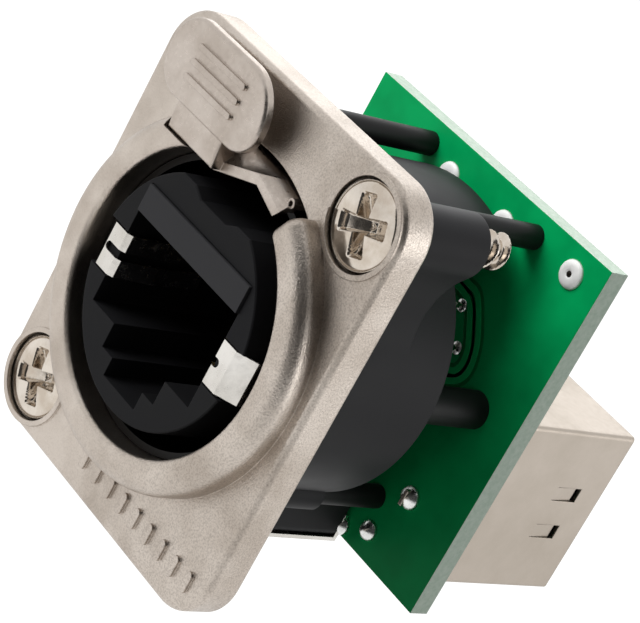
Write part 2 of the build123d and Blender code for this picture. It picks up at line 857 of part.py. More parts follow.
def rear_jack_shell():
    half = shell_width / 2
    bottom = shell_top - shell_height
    wall = shell_thickness
    shell = block(-half, half, board_rear, shell_rear, bottom, shell_top)
    shell = fillet(shell.edges().filter_by(Axis.Y), wall)
    shell -= block(-half + wall, half - wall, board_rear - 1, shell_rear - wall,
                   bottom + wall, shell_top - wall)
    shell -= block(-half + shell_rim, half - shell_rim, shell_rear - 1, shell_rear + 1,
                   bottom + shell_rim, shell_top - shell_rim)
    for y, z in window_places():
        long_half, high_half = window_length / 2, window_height / 2
        shell -= block(-far, far, y - long_half, y + long_half, z - high_half, z + high_half)
        tongue_half = high_half - tongue_slit
        tongue = block(-wall / 2, wall / 2, 0, tongue_length, -tongue_half, tongue_half)
        root_x = half - wall / 2
        root_y = y - long_half - tongue_root_overlap
        right = Pos(root_x, root_y, z) * Rot(0, 0, tongue_angle) * tongue
        shell += right
        shell += mirror(right, about=Plane.YZ)
    tab_half = shell_tab_width / 2
    for x, z in both_sides(shell_tab_x(), shell_tab_z):
        shell += block(x - wall / 2, x + wall / 2, board_front - shell_tab_out, board_rear + 1,
                       z - tab_half, z + tab_half)
    return shell


def rear_jack_housing():
    gap = shell_thickness + shell_clearance
    half = shell_width / 2 - gap
    bottom = shell_top - shell_height + gap
    top = shell_top - gap
    rear = shell_rear - gap
    body = block(-half, half, board_rear, rear, bottom, top)
    body -= slab(jack_opening(rear_opening_top), rear - rear_opening_depth, rear + 1)
    body -= block(-base_recess_half_width, base_recess_half_width, board_rear - 1,
                  board_rear + base_recess_depth, base_recess_bottom, base_recess_top)
    for y, z in window_places():
        long_half = window_length / 2 + tongue_pocket_margin
        high_half = window_height / 2 + tongue_pocket_margin
        for side in (-1, 1):
            edge = side * half
            inner = side * (half - tongue_pocket)
            body -= block(min(edge, inner), max(edge, inner), y - long_half, y + long_half,
                          z - high_half, z + high_half)
    level = rear_opening_top - wire_below_ceiling
    for x, _, _ in wire_places(rear_row_z):
        body -= rod(x, level, wire_radius + wire_hole_clearance, board_rear, rear - rear_opening_depth + 1)
    for x, z in both_sides(ground_pin_x, ground_pin_z):
        body -= rod(x, z, ground_pin_radius, board_rear - 1, board_rear + ground_pin_seat)
    return body


def rear_contacts():
    """Eight spring wires of the rear jack, folded the other way round."""
    level = rear_opening_top - wire_below_ceiling
    rear = shell_rear - shell_thickness - shell_clearance
    nose = rear - wire_nose
    wires = []
    for x, board_x, row_z in wire_places(rear_row_z - row_spacing):
        points = [(x, nose - wire_fold_length, level - wire_fold_drop), (x, nose, level),
                  (x, board_rear + base_recess_depth - rear_bend_margin, level),
                  (board_x, board_rear + rear_wire_lead, row_z), (board_x, board_front - wire_out, row_z)]
        wires.append(wire_rod(points, [wire_fold_radius, rear_bend_radius, rear_bend_radius]))
    return Compound(children=wires)


def ground_pins():
    """Two round pins that earth the rear jack's moulding to the board."""
    pins = []
    for x, z in both_sides(ground_pin_x, ground_pin_z):
        pins.append(rod(x, z, ground_pin_radius, board_front - ground_pin_out, board_rear + ground_pin_seat))
    return Compound(children=pins)


PIECES = [front_flange, push_lever, lever_pin, lever_spring, inner_sleeve, jack_insert, contact_comb,
          left_shield_contact, right_shield_contact, front_contacts, rear_housing, mounting_screws,
          upper_standoffs, side_standoffs, lower_standoffs, ground_strip, circuit_board, plated_pads,
          solder_joints, rear_jack_shell, rear_jack_housing, rear_contacts, ground_pins]

os.makedirs("parts", exist_ok=True)
for piece in PIECES:
    export_step(piece(), f"parts/{piece.__name__}.step")
    print(piece.__name__)
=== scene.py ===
"""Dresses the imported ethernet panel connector: finishes, screws, solder, traces, studio and camera."""

import logging
import math
from dataclasses import dataclass, field
from enum import Enum
from typing import Dict, List, Optional, Sequence, Tuple, Union

import bpy
import numpy as np
from mathutils import Matrix, Vector


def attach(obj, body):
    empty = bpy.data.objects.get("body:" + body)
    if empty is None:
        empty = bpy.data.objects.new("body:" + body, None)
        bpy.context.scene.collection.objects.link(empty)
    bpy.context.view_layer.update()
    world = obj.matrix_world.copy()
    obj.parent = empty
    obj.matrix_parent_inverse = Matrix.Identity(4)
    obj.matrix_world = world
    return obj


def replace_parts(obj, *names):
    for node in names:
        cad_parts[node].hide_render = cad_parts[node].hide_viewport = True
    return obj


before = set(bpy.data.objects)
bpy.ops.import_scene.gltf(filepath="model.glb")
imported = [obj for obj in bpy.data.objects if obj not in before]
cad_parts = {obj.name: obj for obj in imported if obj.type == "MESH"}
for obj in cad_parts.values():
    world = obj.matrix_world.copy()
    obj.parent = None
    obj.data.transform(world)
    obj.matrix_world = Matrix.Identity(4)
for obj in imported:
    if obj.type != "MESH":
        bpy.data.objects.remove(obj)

MM = 0.001
LOG = logging.getLogger("connector")
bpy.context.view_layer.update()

# The Mix node's colour sockets by number, because its other data types share their names.
MIX_A, MIX_B, MIX_RESULT = 6, 7, 2
# Fractal noise seldom leaves these factors, so a ramp between them uses its whole spread.
NOISE_LOW, NOISE_HIGH = 0.3, 0.7
# Rays with which the shader rounds an edge.
EDGE_SAMPLES = 4

Colour = Tuple[float, float, float, float]
Point = Tuple[float, float, float]
Place = Tuple[float, float]
Sockets = Dict[Union[str, int], object]


class Slot(Enum):
    """The record's material slots, passed along with new pieces; each piece's finish comes from the finish
    given with it.
    """

    SCREWS = "bright_nickel"
    SOLDER = "solder"
    BOARD = "board_green"


class Pattern(Enum):
    """Kinds of fractal pattern: octaves on top of the coarsest cells, and the strength of each."""

    CLOUDS = (3.0, 0.55)
    GRAIN = (2.0, 0.6)
    SPECKS = (2.0, 0.7)
    FLOW = (3.0, 0.5)
    TEXTURE = (1.0, 0.5)
    DRIFT = (2.0, 0.5)
    WAVES = (1.0, 0.4)

    def cells(self, size_mm: float) -> Sockets:
        """Settings of the pattern with its coarsest cells size_mm wide on Object coordinates."""
        octaves, strength = self.value
        return {"Scale": 1.0 / (size_mm * MM), "Detail": octaves, "Roughness": strength}


def span(low: float, high: float, start: float = 0.0, end: float = 1.0) -> Sockets:
    """Settings that carry start to low and end to high, and hold both beyond."""
    return {"From Min": start, "From Max": end, "To Min": low, "To Max": high}


def linear(hex_colour: str) -> Colour:
    """Turns an sRGB hex value to linear light.

    Args:
        hex_colour: A hash and six hex digits.

    Returns:
        Linear red, green and blue, with full opacity.
    """
    digits = hex_colour.lstrip("#")
    values = [int(digits[i:i + 2], 16) / 255.0 for i in (0, 2, 4)]
    light = [v / 12.92 if v <= 0.04045 else ((v + 0.055) / 1.055) ** 2.4 for v in values]
    return light[0], light[1], light[2], 1.0


def add_node(tree: bpy.types.NodeTree, kind: str, settings: Optional[Sockets] = None,
             links: Optional[Sockets] = None) -> bpy.types.Node:
    """Adds one node to a tree.

    Args:
        tree: The node tree of a material or world.
        kind: Blender's node type, such as "ShaderNodeBump".
        settings: Property names, or input names and numbers, with their values. The name "stops" stands
            for a colour ramp's two places from 0 to 1, each with its colour.
        links: Input names or numbers with the output socket that feeds each.

    Returns:
        The new node.
    """
    node = tree.nodes.new(kind)
    for name, value in (settings or {}).items():
        if name == "stops":
            for element, (place, colour) in zip(node.color_ramp.elements, value):
                element.position, element.color = place, colour
        elif isinstance(name, str) and hasattr(node, name) and name not in node.inputs:
            setattr(node, name, value)
        else:
            node.inputs[name].default_value = value
    for name, source in (links or {}).items():
        tree.links.new(source, node.inputs[name])
    return node


class Finish:
    """Base of all finishes: makes a material and hands out its tree."""

    name: str = "finish"

    def material(self) -> bpy.types.Material:
        """Makes the finish's material on first use.

        Returns:
            The material, shared by all that wear the finish.
        """
        found = bpy.data.materials.get(self.name)
        if found is not None:
            return found
        made = bpy.data.materials.new(self.name)
        made.use_nodes = True
        tree = made.node_tree
        tree.nodes.clear()
        shader = add_node(tree, "ShaderNodeBsdfPrincipled")
        add_node(tree, "ShaderNodeOutputMaterial", links={"Surface": shader.outputs["BSDF"]})
        place = add_node(tree, "ShaderNodeTexCoord").outputs["Object"]
        self.build(tree, shader, place)
        return made

    def build(self, tree: bpy.types.NodeTree, shader: bpy.types.Node,
              place: bpy.types.NodeSocket) -> None:
        """Fills the tree in.

        Args:
            tree: The material's tree.
            shader: Its Principled node.
            place: Object coordinates.
        """
        raise NotImplementedError

    def rounded_relief(self, tree: bpy.types.NodeTree, height: bpy.types.NodeSocket, depth_mm: float,
                       strength: float, edge_mm: float) -> bpy.types.NodeSocket:
        """Normal of a surface with rounded edges and a low relief over it.

        Args:
            tree: The tree to add to.
            height: Height pattern from 0 to 1.
            depth_mm: Real height of the pattern.
            strength: Share of it that shows.
            edge_mm: Radius that sharp edges seem to have.

        Returns:
            The normal's socket.
        """
        rounded = add_node(tree, "ShaderNodeBevel", {"Radius": edge_mm * MM, "samples": EDGE_SAMPLES})
        bent = add_node(tree, "ShaderNodeBump", {"Distance": depth_mm * MM, "Strength": strength},
                        {"Height": height, "Normal": rounded.outputs["Normal"]})
        return bent.outputs["Normal"]


@dataclass(frozen=True)
class PlatedMetal(Finish):
    """Nickel, tin, gold or bare steel: a broad cloudy tone, and a grain that breaks up reflections."""

    name: str = "satin nickel plate"
    tone: str = "#cfc5bb"
    dull_tone: str = "#b7aca1"
    tone_from: float = 0.62
    dull_to: float = 0.35
    roughness: float = 0.36
    roughness_spread: float = 0.1
    cloud_mm: float = 4.5
    grain_mm: float = 0.16
    grain_depth_mm: float = 0.012
    grain_strength: float = 0.5
    edge_mm: float = 0.1
    metallic: float = 1.0
    # Strength of painted dark specks: the grain's reflections, stronger to the right as painted shade.
    reflection_speckle: float = 0.0
    speckle_mm: float = 0.13
    speckle_shade_tone: str = "#6d655f"
    darkest_speckle_to: float = 0.36
    clear_from: float = 0.56
    left_speckle_share: float = 0.15
    left_speckle_to_mm: float = -6.0
    shaded_from_mm: float = 8.0
    tinned_tone: str = "#cfccc4"
    tinned_from_mm: Optional[float] = None
    tinned_fade_mm: float = 0.5

    def build(self, tree: bpy.types.NodeTree, shader: bpy.types.Node,
              place: bpy.types.NodeSocket) -> None:
        """Colour clouded over cloud_mm, with roughness and relief from the surface's grain.

        Args:
            tree: The material's tree.
            shader: Its Principled node.
            place: Object coordinates.
        """
        clouds = add_node(tree, "ShaderNodeTexNoise", Pattern.CLOUDS.cells(self.cloud_mm), {"Vector": place})
        noise = add_node(tree, "ShaderNodeTexNoise", Pattern.GRAIN.cells(self.grain_mm), {"Vector": place})
        grain = noise.outputs["Fac"]
        stops = [(self.dull_to, linear(self.dull_tone)), (self.tone_from, linear(self.tone))]
        ramp = add_node(tree, "ShaderNodeValToRGB", {"stops": stops}, {"Fac": clouds.outputs["Fac"]})
        colour = ramp.outputs["Color"]
        if self.tinned_from_mm is not None:
            colour = self.tinned(tree, place, colour)
        # Painted dark specks for the grain's reflections, with painted shade that grows to the right.
        if self.reflection_speckle > 0:
            colour = self.speckled(tree, place, colour)
        tree.links.new(colour, shader.inputs["Base Color"])
        shader.inputs["Metallic"].default_value = self.metallic
        low, high = self.roughness - self.roughness_spread, self.roughness + self.roughness_spread
        rough = add_node(tree, "ShaderNodeMapRange", span(low, high, NOISE_LOW, NOISE_HIGH), {"Value": grain})
        tree.links.new(rough.outputs["Result"], shader.inputs["Roughness"])
        bent = self.rounded_relief(tree, grain, self.grain_depth_mm, self.grain_strength, self.edge_mm)
        tree.links.new(bent, shader.inputs["Normal"])

    def speckled(self, tree: bpy.types.NodeTree, place: bpy.types.NodeSocket,
                 colour: bpy.types.NodeSocket) -> bpy.types.NodeSocket:
        """The colour with fine dark specks: painted reflections of dark surroundings in the grain.

        A speck is where the noise is under its darkest threshold, and it fades out up to clear_from. The
        specks show by a small share of their strength left of one bound along X, and by all of it right of
        another: painted shade that makes the face darker to the right.

        Args:
            tree: The tree to add to.
            place: Object coordinates.
            colour: The plain metal's colour.

        Returns:
            The speckled colour's socket.
        """
        noise = add_node(tree, "ShaderNodeTexNoise", Pattern.SPECKS.cells(self.speckle_mm), {"Vector": place})
        dark_specks = add_node(tree, "ShaderNodeMapRange", span(1.0, 0.0, self.darkest_speckle_to, self.clear_from),
                        {"Value": noise.outputs["Fac"]})
        across = add_node(tree, "ShaderNodeSeparateXYZ", links={"Vector": place}).outputs["X"]
        showing = span(self.left_speckle_share * self.reflection_speckle, self.reflection_speckle,
                       self.left_speckle_to_mm * MM, self.shaded_from_mm * MM)
        shaded_to_right = add_node(tree, "ShaderNodeMapRange", showing, {"Value": across})
        share = add_node(tree, "ShaderNodeMath", {"operation": "MULTIPLY"},
                         {0: dark_specks.outputs["Result"], 1: shaded_to_right.outputs["Result"]})
        return add_node(tree, "ShaderNodeMix", {"data_type": "RGBA", MIX_B: linear(self.speckle_shade_tone)},
                        {"Factor": share.outputs[0], MIX_A: colour}).outputs[MIX_RESULT]

    def tinned(self, tree: bpy.types.NodeTree, place: bpy.types.NodeSocket,
               colour: bpy.types.NodeSocket) -> bpy.types.NodeSocket:
        """The colour, with the tinned tone behind tinned_from_mm.

        Args:
            tree: The tree to add to.
            place: Object coordinates.
            colour: The plain metal's colour.

        Returns:
            The tinned colour's socket.
        """
        depth = add_node(tree, "ShaderNodeSeparateXYZ", links={"Vector": place}).outputs["Y"]
        start = self.tinned_from_mm * MM
        share = add_node(tree, "ShaderNodeMapRange", span(0.0, 1.0, start, start + self.tinned_fade_mm * MM),
                         {"Value": depth})
        return add_node(tree, "ShaderNodeMix", {"data_type": "RGBA", MIX_B: linear(self.tinned_tone)},
                        {"Factor": share.outputs["Result"], MIX_A: colour}).outputs[MIX_RESULT]


@dataclass(frozen=True)
class MouldedPlastic(Finish):
    """Injection-moulded plastic with a fine eroded texture from its mould."""

    name: str = "moulded black nylon"
    tone: str = "#272729"
    worn_tone: str = "#2e2e30"
    roughness: float = 0.5
    glossier: float = 0.05
    duller: float = 0.06
    texture_mm: float = 0.12
    texture_depth_mm: float = 0.01
    texture_strength: float = 0.35
    flow_mm: float = 5.0
    edge_mm: float = 0.12
    specular: float = 0.14

    def build(self, tree: bpy.types.NodeTree, shader: bpy.types.Node,
              place: bpy.types.NodeSocket) -> None:
        """Colour and gloss drift a little over flow_mm, and the mould's texture bends the normal.

        Args:
            tree: The material's tree.
            shader: Its Principled node.
            place: Object coordinates.
        """
        noise = add_node(tree, "ShaderNodeTexNoise", Pattern.FLOW.cells(self.flow_mm), {"Vector": place})
        flow = noise.outputs["Fac"]
        texture = add_node(tree, "ShaderNodeTexNoise", Pattern.TEXTURE.cells(self.texture_mm),
                           {"Vector": place})
        stops = [(NOISE_LOW, linear(self.tone)), (NOISE_HIGH, linear(self.worn_tone))]
        ramp = add_node(tree, "ShaderNodeValToRGB", {"stops": stops}, {"Fac": flow})
        tree.links.new(ramp.outputs["Color"], shader.inputs["Base Color"])
        shader.inputs["Specular IOR Level"].default_value = self.specular
        low, high = self.roughness - self.glossier, self.roughness + self.duller
        rough = add_node(tree, "ShaderNodeMapRange", span(low, high, NOISE_LOW, NOISE_HIGH), {"Value": flow})
        tree.links.new(rough.outputs["Result"], shader.inputs["Roughness"])
        bent = self.rounded_relief(tree, texture.outputs["Fac"], self.texture_depth_mm,
                                   self.texture_strength, self.edge_mm)
        tree.links.new(bent, shader.inputs["Normal"])


@dataclass(frozen=True)
class SolderMask(Finish):
    """Solder mask over glass laminate: wavy varnished faces, and pale woven edges where it was cut."""

    name: str = "green solder mask on laminate"
    mask: str = "#04a85e"
    deep_mask: str = "#029955"
    mask_from: float = 0.65
    deep_to: float = 0.35
    mask_roughness: float = 0.4
    specular: float = 0.1
    core: str = "#dcebdd"
    dull_core: str = "#c8dccb"
    core_roughness: float = 0.6
    facing: float = 0.5
    weave_mm: float = 0.35
    cloud_mm: float = 3.0
    wave_mm: float = 0.9
    wave_depth_mm: float = 0.01
    wave_strength: float = 0.3
    edge_mm: float = 0.08

    def build(self, tree: bpy.types.NodeTree, shader: bpy.types.Node,
              place: bpy.types.NodeSocket) -> None:
        """The mask shows where the normal's part along Y is over facing, and the glass weave elsewhere.

        Args:
            tree: The material's tree.
            shader: Its Principled node.
            place: Object coordinates.
        """
        normal = add_node(tree, "ShaderNodeNewGeometry").outputs["True Normal"]
        along = add_node(tree, "ShaderNodeSeparateXYZ", links={"Vector": normal}).outputs["Y"]
        flat = add_node(tree, "ShaderNodeMath", {"operation": "ABSOLUTE"}, {0: along})
        on_face = add_node(tree, "ShaderNodeMath", {"operation": "GREATER_THAN", 1: self.facing},
                           {0: flat.outputs[0]}).outputs[0]
        weave = add_node(tree, "ShaderNodeTexNoise", Pattern.GRAIN.cells(self.weave_mm), {"Vector": place})
        clouds = add_node(tree, "ShaderNodeTexNoise", Pattern.DRIFT.cells(self.cloud_mm), {"Vector": place})
        waves = add_node(tree, "ShaderNodeTexNoise", Pattern.WAVES.cells(self.wave_mm), {"Vector": place})
        green = [(self.deep_to, linear(self.deep_mask)), (self.mask_from, linear(self.mask))]
        pale = [(NOISE_LOW, linear(self.dull_core)), (NOISE_HIGH, linear(self.core))]
        mask = add_node(tree, "ShaderNodeValToRGB", {"stops": green}, {"Fac": clouds.outputs["Fac"]})
        core = add_node(tree, "ShaderNodeValToRGB", {"stops": pale}, {"Fac": weave.outputs["Fac"]})
        colour = add_node(tree, "ShaderNodeMix", {"data_type": "RGBA"},
                          {"Factor": on_face, MIX_A: core.outputs["Color"], MIX_B: mask.outputs["Color"]})
        tree.links.new(colour.outputs[MIX_RESULT], shader.inputs["Base Color"])
        rough = add_node(tree, "ShaderNodeMapRange", span(self.core_roughness, self.mask_roughness),
                         {"Value": on_face})
        tree.links.new(rough.outputs["Result"], shader.inputs["Roughness"])
        shader.inputs["Specular IOR Level"].default_value = self.specular
        bent = self.rounded_relief(tree, waves.outputs["Fac"], self.wave_depth_mm, self.wave_strength,
                                   self.edge_mm)
        tree.links.new(bent, shader.inputs["Normal"])


# Die-cast metal, blasted and nickel-plated: a warm silver that sparkles. Its dark specks are painted
# reflections in the grain, made stronger to the right as painted shade. The real grain is finer, and is
# drawn at 0.12 mm so that it shows.
SATIN_NICKEL = PlatedMetal(roughness=0.38, grain_mm=0.12, grain_depth_mm=0.03, grain_strength=1.0,
                           reflection_speckle=0.35)
# The same plate on a smoother casting: an even satin, with only a trace of the flange's painted dark specks.
LEVER_NICKEL = PlatedMetal(name="lever nickel plate", tone="#c9bfb6", dull_tone="#b9aea4", roughness=0.36,
                           grain_mm=0.25, grain_depth_mm=0.008, grain_strength=0.2, cloud_mm=3.0,
                           reflection_speckle=0.15)
# Polished plate on cold-headed screws: crisp bright and dark bands round the recess and the threads.
BRIGHT_NICKEL = PlatedMetal(name="bright nickel plate", tone="#d8cfc4", dull_tone="#c2b6a8", roughness=0.14,
                            roughness_spread=0.05, grain_mm=0.5, grain_depth_mm=0.01, grain_strength=0.25,
                            cloud_mm=1.5, edge_mm=0.06)
# Nickel on rolled strip: cooler and smoother than the casting, with broad clear reflections.
STRIP_NICKEL = PlatedMetal(name="nickel-plated strip", tone="#dedbd6", dull_tone="#cbc7c0", roughness=0.22,
                           grain_mm=0.6, grain_depth_mm=0.006, grain_strength=0.2, edge_mm=0.05)
# Tin on folded sheet: a dull warm grey that smears what it mirrors, with rounded folds.
SHELL_TIN = PlatedMetal(name="tin-plated sheet", tone="#b9afa4", dull_tone="#aea498", roughness=0.42,
                        roughness_spread=0.04, grain_mm=0.5, grain_depth_mm=0.004, grain_strength=0.2,
                        cloud_mm=6.0, edge_mm=0.12)
# Solder that froze as it flowed: near white drops with small soft dimples.
SOLDER = PlatedMetal(name="tin-silver solder", tone="#ececea", dull_tone="#d4d4d2", roughness=0.3,
                     grain_mm=0.35, grain_depth_mm=0.012, grain_strength=0.35, cloud_mm=0.8, edge_mm=0.04)
# Tin that fills the pads, near white and mostly matt: a painted highlight for the glare the domes catch, so
# mostly lit as a pale coat is.
PAD_TIN = PlatedMetal(name="pad tin with painted glare", tone="#fbfbfa", dull_tone="#f0f0ee", roughness=0.4,
                      metallic=0.15, grain_mm=0.35, grain_depth_mm=0.01, grain_strength=0.3, cloud_mm=0.8,
                      edge_mm=0.04)
# Gold over spring wire: warm yellow in the front opening, and pale grey behind 9 mm, where it was dipped in
# tin. The rear jack's wires lie behind that from end to end, so they are pale grey all over.
GOLD_WIRE = PlatedMetal(name="gold-plated wire", tone="#e6c36a", dull_tone="#cfa851", roughness=0.2,
                        grain_mm=0.3, grain_depth_mm=0.004, grain_strength=0.15, edge_mm=0.03,
                        tinned_from_mm=9.0)
# Steel drawn through a die: a plain mid grey with a soft gleam.
SPRING_WIRE = PlatedMetal(name="drawn spring steel", tone="#a8a6a2", dull_tone="#8f8d89", roughness=0.3,
                          grain_mm=0.2, edge_mm=0.03)
# Glass-filled nylon from an eroded mould: black with a dry grey bloom. The mould's texture is finer on the
# real part, and is drawn at 0.12 mm so that it shows.
HOUSING_NYLON = MouldedPlastic()
# The insert's and the rear jack's nylon: deeper black and drier, so that only its edges catch light.
INSERT_NYLON = MouldedPlastic(name="moulded charcoal nylon", tone="#131314", worn_tone="#18181a",
                              roughness=0.55, edge_mm=0.08, specular=0.12)
# The comb's nylon: lighter than the insert round it, so that the bar and its gap can be told apart.
COMB_NYLON = MouldedPlastic(name="moulded comb nylon", tone="#2b2b2d", worn_tone="#313133", roughness=0.5,
                            edge_mm=0.06, specular=0.15)
# The liner's smooth nylon: a warm black, with a soft gleam round the bore.
LINER_NYLON = MouldedPlastic(name="moulded liner nylon", tone="#0a0807", worn_tone="#100d0c", roughness=0.4,
                             edge_mm=0.08, specular=0.2)
# Dark brown drops in the pads' pits, with a small gleam: painted shade for the shaded holes there.
PIT_SHADE_DROP = MouldedPlastic(name="painted pit shade", tone="#16110d", worn_tone="#241c15", roughness=0.3,
                            edge_mm=0.02)
# The standoffs' nylon: black, with a narrow highlight along each pin.
STANDOFF_NYLON = MouldedPlastic(name="moulded standoff nylon", tone="#131314", worn_tone="#19191a",
                                roughness=0.48, edge_mm=0.15, specular=0.2)
# Varnish over copper and glass cloth: an even green face, and milky edges where the board was cut.
BOARD = SolderMask()
# The same varnish over a trace: a line of paler green.
TRACE_MASK = SolderMask(name="solder mask over a trace", mask="#12bd69", deep_mask="#0dae5e",
                        core="#0dae5e", dull_core="#0aa055")
# The same varnish where the copper was etched away: darker green beside a trace.
GAP_MASK = SolderMask(name="solder mask over bare laminate", mask="#047a40", deep_mask="#036e39",
                      core="#047a40", dull_core="#036e39")

NODE_FINISHES: Dict[str, Finish] = {
    "front_flange": SATIN_NICKEL,
    "push_lever": LEVER_NICKEL,
    "lever_pin": SPRING_WIRE,
    "lever_spring": SPRING_WIRE,
    "inner_sleeve": LINER_NYLON,
    "jack_insert": INSERT_NYLON,
    "contact_comb": COMB_NYLON,
    "left_shield_contact": STRIP_NICKEL,
    "right_shield_contact": STRIP_NICKEL,
    "front_contacts": GOLD_WIRE,
    "rear_housing": HOUSING_NYLON,
    "mounting_screws": BRIGHT_NICKEL,
    "upper_standoffs": STANDOFF_NYLON,
    "side_standoffs": STANDOFF_NYLON,
    "lower_standoffs": STANDOFF_NYLON,
    "ground_strip": STRIP_NICKEL,
    "circuit_board": BOARD,
    "plated_pads": PAD_TIN,
    "solder_joints": SOLDER,
    "rear_jack_shell": SHELL_TIN,
    "rear_jack_housing": INSERT_NYLON,
    "rear_contacts": GOLD_WIRE,
    "ground_pins": STRIP_NICKEL,
}


def ring_faces(rings: int, steps: int, flip: bool = False) -> np.ndarray:
    """Quads between each ring of points and the next, numbered ring by ring.

    Args:
        rings: Number of rings.
        steps: Points round each.
        flip: Whether the faces turn the other way.

    Returns:
        An array with one quad a line.
    """
    near = np.arange(rings - 1)[:, None] * steps
    far = near + steps
    j = np.arange(steps)[None, :]
    k = (j + 1) % steps
    quads = np.stack([near + j, near + k, far + k, far + j], axis=-1).reshape(-1, 4)
    return quads[:, ::-1] if flip else quads


@dataclass
class Surface:
    """Points and faces that grow into one mesh piece."""

    name: str
    points: List[np.ndarray] = field(default_factory=list)
    faces: List[List[int]] = field(default_factory=list)

    def add(self, points: np.ndarray, faces: Sequence[Sequence[int]]) -> None:
        """Adds a block of points with faces numbered within it.

        Args:
            points: Array of points in millimetres, one a line.
            faces: Faces as lists of point numbers.
        """
        start = sum(len(p) for p in self.points)
        self.points.append(points)
        self.faces.extend([int(v) + start for v in face] for face in faces)

    def closed(self, rings: np.ndarray, poles: np.ndarray, flip: bool = False) -> None:
        """Adds rings of points, each joined to the next, with a fan to a pole at both ends.

        Args:
            rings: Points in millimetres, as rings by steps by three.
            poles: The first and the last pole, one a line.
            flip: Whether the faces turn the other way.
        """
        count, steps = rings.shape[:2]
        total = count * steps
        j = np.arange(steps)
        k = (j + 1) % steps
        first = np.stack([np.full(steps, total), k, j], axis=-1)
        last = np.stack([np.full(steps, total + 1), total - steps + j, total - steps + k], axis=-1)
        fans = np.vstack([first, last])
        fans = fans[:, ::-1] if flip else fans
        faces = [*ring_faces(count, steps, flip).tolist(), *fans.tolist()]
        self.add(np.vstack([rings.reshape(-1, 3), poles]), faces)

    def lathe(self, profile: np.ndarray, centre: Point, steps: int = 48) -> None:
        """Turns a profile about a line along Y.

        Each point is the centre plus (radius times cosine, depth, radius times sine) of its angle.
        A profile that starts and ends on the line is closed at both poles with a fan.

        Args:
            profile: Lines of (radius, depth), from the front pole to the rear pole.
            centre: Where the line passes, in millimetres.
            steps: Points round the circle.
        """
        angle = np.linspace(0, 2 * np.pi, steps, endpoint=False)
        inner = profile[1:-1]
        rings = np.stack([inner[:, :1] * np.cos(angle), np.repeat(inner[:, 1:], steps, 1),
                          inner[:, :1] * np.sin(angle)], axis=-1)
        poles = np.array([[0, profile[0, 1], 0], [0, profile[-1, 1], 0]])
        self.closed(rings + np.array(centre), poles + np.array(centre))

    def piece(self, finish: Finish, slot: Slot, smooth: bool = True) -> bpy.types.Object:
        """Makes the mesh object and rides it on the connector, which every new piece belongs to.

        Args:
            finish: The finish that dresses it.
            slot: Not used.
            smooth: Whether its faces shade smoothly.

        Returns:
            The new object.
        """
        mesh = bpy.data.meshes.new(self.name)
        points = np.vstack(self.points) * MM
        mesh.from_pydata(points.tolist(), [], self.faces)
        mesh.update()
        mesh.polygons.foreach_set("use_smooth", np.full(len(mesh.polygons), smooth))
        made = bpy.data.objects.new(self.name, mesh)
        bpy.context.scene.collection.objects.link(made)
        made.data.materials.append(finish.material())
        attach(made, "connector")
        LOG.info("piece %s with %d faces", made.name, len(mesh.polygons))
        return made


